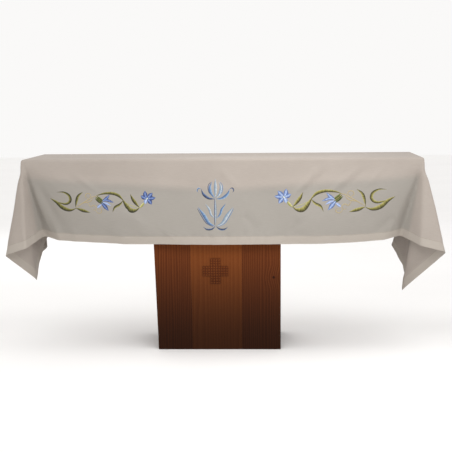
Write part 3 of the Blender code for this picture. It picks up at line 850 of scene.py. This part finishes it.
# Shapes of one spray, mm: name, half width, belly, thread, points outwards and down from the star flower
SPRAY = [
    ("curled_leaf", 7.6, 0.50, "leaf", [(460, 20), (414, 29), (388, 12), (392, -16), (420, -33), (454, -32)]),
    ("boat_leaf", 12.0, 0.52, "leaf", [(494, 4), (462, 22), (430, 50), (392, 61), (358, 49)]),
    ("upright_leaf", 7.5, 0.50, "leaf", [(322, -34), (346, -14), (357, 18), (362, 48)]),
    ("trailing_leaf", 9.0, 0.50, "leaf", [(360, 48), (331, 59), (288, 71)]),
    ("arched_leaf", 8.5, 0.66, "leaf", [(258, -13), (224, -25), (180, -27), (143, -15), (114, 16)]),
    ("cupped_leaf", 12.0, 0.55, "leaf", [(124, 2), (108, 30), (84, 57), (58, 58), (38, 44)]),
    ("drooping_leaf", 7.0, 0.50, "leaf", [(120, 10), (138, 29), (162, 43), (175, 68)]),
    ("slant_leaf", 8.5, 0.50, "leaf", [(84, -22), (73, 2), (54, 28), (37, 47)]),
    ("star_stem", 6.5, 0.50, "stem", [(40, 46), (29, 37), (12, 17)]),
    ("long_stem", 1.8, 0.50, "stem", [(108, 20), (76, 36), (41, 46)]),
    ("tendril_stem", 2.3, 0.45, "gold", [(358, 43), (324, 22), (292, 3), (268, -11), (246, -14)]),
    ("upper_curl", 2.0, 0.50, "gold", [(292, 3), (309, -10), (305, -24), (290, -26), (281, -14), (291, -5)]),
    ("side_curl", 2.2, 0.50, "gold", [(324, 22), (300, 18), (284, 12), (272, -2)]),
    ("lower_curl", 2.0, 0.50, "gold", [(300, 18), (285, 40), (270, 33), (256, 44), (262, 58), (277, 56)]),
    ("outer_curl", 2.0, 0.50, "gold", [(262, 58), (248, 74), (231, 69), (232, 56), (246, 58)]),
    ("calyx_upper", 6.5, 0.50, "calyx", [(252, -14), (234, 2), (215, 16)]),
    ("calyx_lower", 6.5, 0.50, "calyx", [(261, -2), (243, 13), (225, 28)]),
    ("calyx_middle", 6.0, 0.50, "leaf", [(259, -10), (238, 7), (217, 25)]),
    ("bell_petal_up", 8.5, 0.50, "petal", [(228, 15), (206, 0), (187, -20)]),
    ("bell_petal_side", 7.5, 0.50, "petal", [(228, 14), (202, 8), (166, 20)]),
    ("bell_petal_middle", 6.0, 0.50, "petal_pale", [(226, 18), (206, 23), (182, 36)]),
    ("bell_petal_down", 10.5, 0.50, "petal", [(230, 18), (214, 38), (194, 62)]),
    ("bell_petal_back", 7.0, 0.58, "petal_pale", [(228, 28), (238, 35), (253, 47)]),
    ("star_petal_top", 12.0, 0.52, "petal", [(2, -2), (9, -19), (11, -39)]),
    ("star_petal_inner", 12.0, 0.52, "petal", [(-1, -2), (-14, -15), (-27, -29)]),
    ("star_petal_side", 11.0, 0.52, "petal", [(-2, 0), (-21, -1), (-42, -4)]),
    ("star_petal_low", 11.5, 0.52, "petal", [(-1, 2), (-12, 14), (-23, 30)]),
    ("star_petal_under", 9.5, 0.58, "petal_pale", [(1, 2), (8, 14), (11, 28)]),
    ("star_petal_outer", 11.5, 0.52, "petal", [(2, 0), (16, -5), (33, -14)]),
    ("star_heart", 4.2, 0.50, "heart", [(8, 7), (0, 0), (-8, -6)]),
]
# The two sprays: name, star flower's x, its drop, side, stretch along, stretch down
SPRAYS = [
    ("left_spray", -0.370, 0.196, -1, 1.00, 1.00),
    ("right_spray", 0.309, 0.192, 1, 1.12, 1.08),
]
# Shapes of the upright ornament, mm: name, half width, belly, thread or left and right threads, points
ORNAMENT = [
    ("stem", 4.6, 0.50, "silver", [(0, 196), (1, 262), (0, 338)]),
    ("stem_shade", 2.2, 0.50, "slate", [(-5, 200), (-4.5, 262), (-5, 330)]),
    ("bud", 7.5, 0.50, "sky silver", [(3, 196), (21, 172), (27, 142), (17, 114)]),
    ("bud_middle", 8.5, 0.52, "silver", [(0, 192), (0, 150), (0, 99)]),
    ("bud_shade", 2.2, 0.50, "slate sky", [(10, 188), (32, 166), (36, 136), (24, 116)]),
    ("open_petal", 7.5, 0.55, "slate sky", [(4, 200), (34, 196), (60, 176), (71, 149)]),
    ("petal_tip", 3.4, 0.50, "sky slate", [(71, 150), (84, 146), (91, 158), (84, 168)]),
    ("broad_leaf", 9.0, 0.52, "sky silver", [(3, 336), (34, 318), (57, 282), (88, 240)]),
    ("leaf_shade", 2.4, 0.50, "slate sky", [(14, 338), (46, 320), (68, 288), (90, 248)]),
    ("narrow_leaf", 6.0, 0.50, "silver sky", [(4, 296), (22, 278), (32, 250), (52, 222)]),
    ("foot_leaf", 5.0, 0.50, "slate slate", [(2, 336), (20, 350), (44, 351), (62, 338)]),
]
ORNAMENT_X = -0.030
# Half width in millimetres over which a shape has more rows across, and over which it is padded more
MORE_ROWS_OVER = 2
MORE_PADDING_OVER = 3


# A shape with two threads lies on both sides of the ornament's middle
def both_sides(rows):
    shapes = []
    for name, half_width, belly, threads, points in rows:
        *left, right = threads.split()
        for thread in left:
            mirrored = [(-u, v) for u, v in points]
            shapes.append((name + "_left", half_width, belly, thread, mirrored))
        shapes.append((name, half_width, belly, right, points))
    return shapes


# One embroidered piece: all its stitched shapes
def embroidery(rows, placed, threads, name):
    shapes = []
    for row, half_width, belly, thread, points in rows:
        line = [(u / MILLIMETRES, v / MILLIMETRES) for u, v in points]
        steps, across = (26, 6) if half_width > MORE_ROWS_OVER else (30, 3)
        height = 0.0008 if half_width > MORE_PADDING_OVER else 0.0007
        width = half_width / MILLIMETRES
        made = threads[thread]
        shapes.append(stitched_shape(row, line, width, belly, height, steps, across, placed, made))
    return join_shapes(shapes, name)


# Where a motif's points lie on the flat cloth's front panel
def motif_place(middle_x, drop, side, stretch_x, stretch_y):
    def placed(local):
        x = middle_x + side * local[:, 0] * stretch_x
        return np.column_stack([x, -HALF_DEPTH - drop - local[:, 1] * stretch_y])

    return placed


# The two sprays and the ornament, in their threads
def make_embroidery():
    left_threads = {
        "leaf": satin_thread("olive_rayon_satin_stitch", "#29270E", "#666329", "#A39C58"),
        "stem": satin_thread("pale_green_rayon_thread", "#8F8C48", "#B8B46C", "#D2CD98"),
        "gold": satin_thread("cream_gold_rayon_thread", "#937F50", "#BBA673", "#D2C399"),
        "calyx": satin_thread("deep_green_rayon_satin_stitch", "#2A2F12", "#55602A", "#8A8E4C"),
        "petal": satin_thread("cornflower_rayon_satin_stitch", "#28376A", "#4C639E", "#8DA4CF", folded=True),
        "petal_pale": satin_thread(
            "pale_blue_rayon_satin_stitch", "#6C87C0", "#9FB2DA", "#C9D4EA", folded=True
        ),
        "heart": satin_thread("white_green_rayon_stitch", "#C6CBB0", "#DADCC4", "#E9E9DA"),
    }
    right_threads = dict(left_threads)
    right_threads["leaf"] = satin_thread("moss_rayon_satin_stitch", "#3D381A", "#7F7938", "#B9B06E")
    light_petal = satin_thread("light_blue_rayon_satin_stitch", "#415893", "#7C94C4", "#BAC9E4", folded=True)
    right_threads["petal"] = light_petal
    pieces = []
    for name, star_x, star_drop, side, stretch_x, stretch_y in SPRAYS:
        threads = left_threads if side < 0 else right_threads
        placed = motif_place(star_x, star_drop, side, stretch_x, stretch_y)
        pieces.append(embroidery(SPRAY, placed, threads, "embroidered_" + name))
    ornament_threads = {
        "silver": satin_thread("silver_blue_rayon_satin_stitch", "#74869A", "#9CABB9", "#C3CCD4"),
        "sky": satin_thread("sky_blue_rayon_satin_stitch", "#42628C", "#6A89AF", "#9AB1CA"),
        "slate": satin_thread("slate_blue_rayon_satin_stitch", "#232E47", "#3C5078", "#6C82A8"),
    }
    placed = motif_place(ORNAMENT_X, 0.0, 1, 1.0, 1.0)
    pieces.append(embroidery(both_sides(ORNAMENT), placed, ornament_threads, "embroidered_ornament"))
    return pieces


# Beads of the cross: number, pitch and radius, the plate's centre and front, half the rows of an arm
BEAD_COUNT = 10
BEAD_PITCH = 0.0128
BEAD_RADIUS = 0.0045
BEAD_FLATNESS = 0.45
CROSS_X = -0.0365
CROSS_Z = 0.4005
CROSS_FRONT = -0.2433 - ORIGIN_BACK
ARM_HALF_ROWS = 1.6


# Raised beads of the cross, in rows on its plate
def make_beads(made):
    beads = []
    middle = (BEAD_COUNT - 1) / 2
    for column in range(BEAD_COUNT):
        for row in range(BEAD_COUNT):
            if abs(column - middle) > ARM_HALF_ROWS and abs(row - middle) > ARM_HALF_ROWS:
                continue
            x = CROSS_X + (column - middle) * BEAD_PITCH
            z = CROSS_Z + (row - middle) * BEAD_PITCH
            bpy.ops.mesh.primitive_uv_sphere_add(
                segments=12,
                ring_count=8,
                radius=BEAD_RADIUS,
                location=(x, CROSS_FRONT, z),
            )
            bead = bpy.context.object
            bead.scale.y = BEAD_FLATNESS
            beads.append(bead)
    joined = join_shapes(beads, "cross_beads")
    bpy.ops.object.transform_apply(location=True, rotation=True, scale=True)
    joined.data.materials.append(made)
    return joined


# A CAD node in its own material
def give_material(node, made):
    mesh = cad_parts[node].data
    mesh.materials.clear()
    mesh.materials.append(made)


# The photo's camera: its picture and focal length in pixels, its turn, and its place in metres
PHOTO_PIXELS = 452
FOCAL_PIXELS = 1240.7
SENSOR_WIDTH = 36.0
CAMERA_PITCH = math.radians(5.982)
CAMERA_YAW = math.radians(2.286)
CAMERA_ROLL = math.radians(-0.481)
CAMERA_PLACE = (0.266, -6.435 - ORIGIN_BACK, 1.279)
# Soft boxes: name, place, aim, size, power
LIGHTS = [
    ("front_soft_box", (0.25, -1.8, 1.85), (0.15, -0.35, 0.80), 0.9, 14.0),
    ("right_soft_box", (2.4, -1.9, 1.5), (1.0, -0.3, 0.70), 0.8, 9.0),
    ("top_soft_box", (0.2, -0.45, 2.1), (0.1, -0.2, 0.95), 0.7, 4.5),
    ("back_soft_box", (-1.5, 4.5, 3.2), (0.0, 0.0, 0.7), 2.5, 30.0),
]


# The photo's camera, an even pale room and four soft boxes
def camera_and_light():
    camera = bpy.data.cameras.new("camera")
    holder = bpy.data.objects.new("camera", camera)
    bpy.context.scene.collection.objects.link(holder)
    bpy.context.scene.camera = holder
    camera.sensor_width = SENSOR_WIDTH
    camera.lens = SENSOR_WIDTH * FOCAL_PIXELS / PHOTO_PIXELS
    camera.clip_end = 60.0
    level = math.cos(CAMERA_PITCH)
    forward = Vector((-math.sin(CAMERA_YAW) * level, math.cos(CAMERA_YAW) * level, -math.sin(CAMERA_PITCH)))
    right = Vector((math.cos(CAMERA_YAW), math.sin(CAMERA_YAW), 0))
    up = right.cross(forward)
    turned_right = right * math.cos(CAMERA_ROLL) + up * math.sin(CAMERA_ROLL)
    turned_up = -right * math.sin(CAMERA_ROLL) + up * math.cos(CAMERA_ROLL)
    pose = Matrix((turned_right, turned_up, -forward)).transposed().to_4x4()
    pose.translation = Vector(CAMERA_PLACE)
    holder.matrix_world = pose
    world = bpy.data.worlds.new("pale_room")
    bpy.context.scene.world = world
    world.use_nodes = True
    backdrop = world.node_tree.nodes["Background"]
    backdrop.inputs[0].default_value = hex_colour("#FAF9F8")
    backdrop.inputs[1].default_value = 1.0
    bpy.context.scene.view_settings.view_transform = "Standard"
    for name, place, aim, size, power in LIGHTS:
        lamp = bpy.data.lights.new(name, "AREA")
        lamp.size = size
        lamp.energy = power
        stand = bpy.data.objects.new(name, lamp)
        bpy.context.scene.collection.objects.link(stand)
        stand.location = place
        stand.rotation_euler = (Vector(aim) - Vector(place)).to_track_quat("-Z", "Y").to_euler()


# A pale floor, far wider than the altar
def make_floor():
    bpy.ops.mesh.primitive_plane_add(size=40.0, location=(0, 0, 0))
    floor = bpy.context.object
    floor.name = "studio_floor"
    made, tree, shader = new_material("pale_studio_floor", 0.8, 0.2)
    place = add_node(tree, "TexCoord").outputs["Object"]
    cloud = add_node(tree, "TexNoise", {"Vector": place, "Scale": 0.8, "Detail": 2.0}).outputs["Fac"]
    tone = add_node(tree, "ValToRGB", {"Fac": cloud}, [(0.3, "#F8F7F6"), (0.7, "#FBFAF9")]).outputs["Color"]
    tree.links.new(tone, shader.inputs["Base Color"])
    floor.data.materials.append(made)


bpy.ops.object.select_all(action="DESELECT")
camera_and_light()
make_floor()
cloth = make_linen(linen_material())
stitched = make_embroidery()
side_wood = stained_wood("red_brown_stained_pine", "#79401D", "#5F2E13", 26.0, knot=(0.257, 0.368))
panel_wood = stained_wood("red_brown_stained_panel", "#864A22", "#7A401B", 18.0)
bare_wood = stained_wood("plain_planed_spruce", "#B58F5E", "#8A6337", 22.0)
for node in ("front_left_board", "front_right_board", "side_board_left", "side_board_right", "back_board"):
    give_material(node, side_wood)
give_material("front_centre_panel", panel_wood)
give_material("cross_plate", stained_wood("dark_stained_cross_plate", "#6B3517", "#5A2A11", 22.0))
give_material("table_top", bare_wood)
beads = make_beads(panel_wood)

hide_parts("altar_cloth")
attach(cloth, "root")
for piece in stitched:
    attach(piece, "root")
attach(beads, "root")
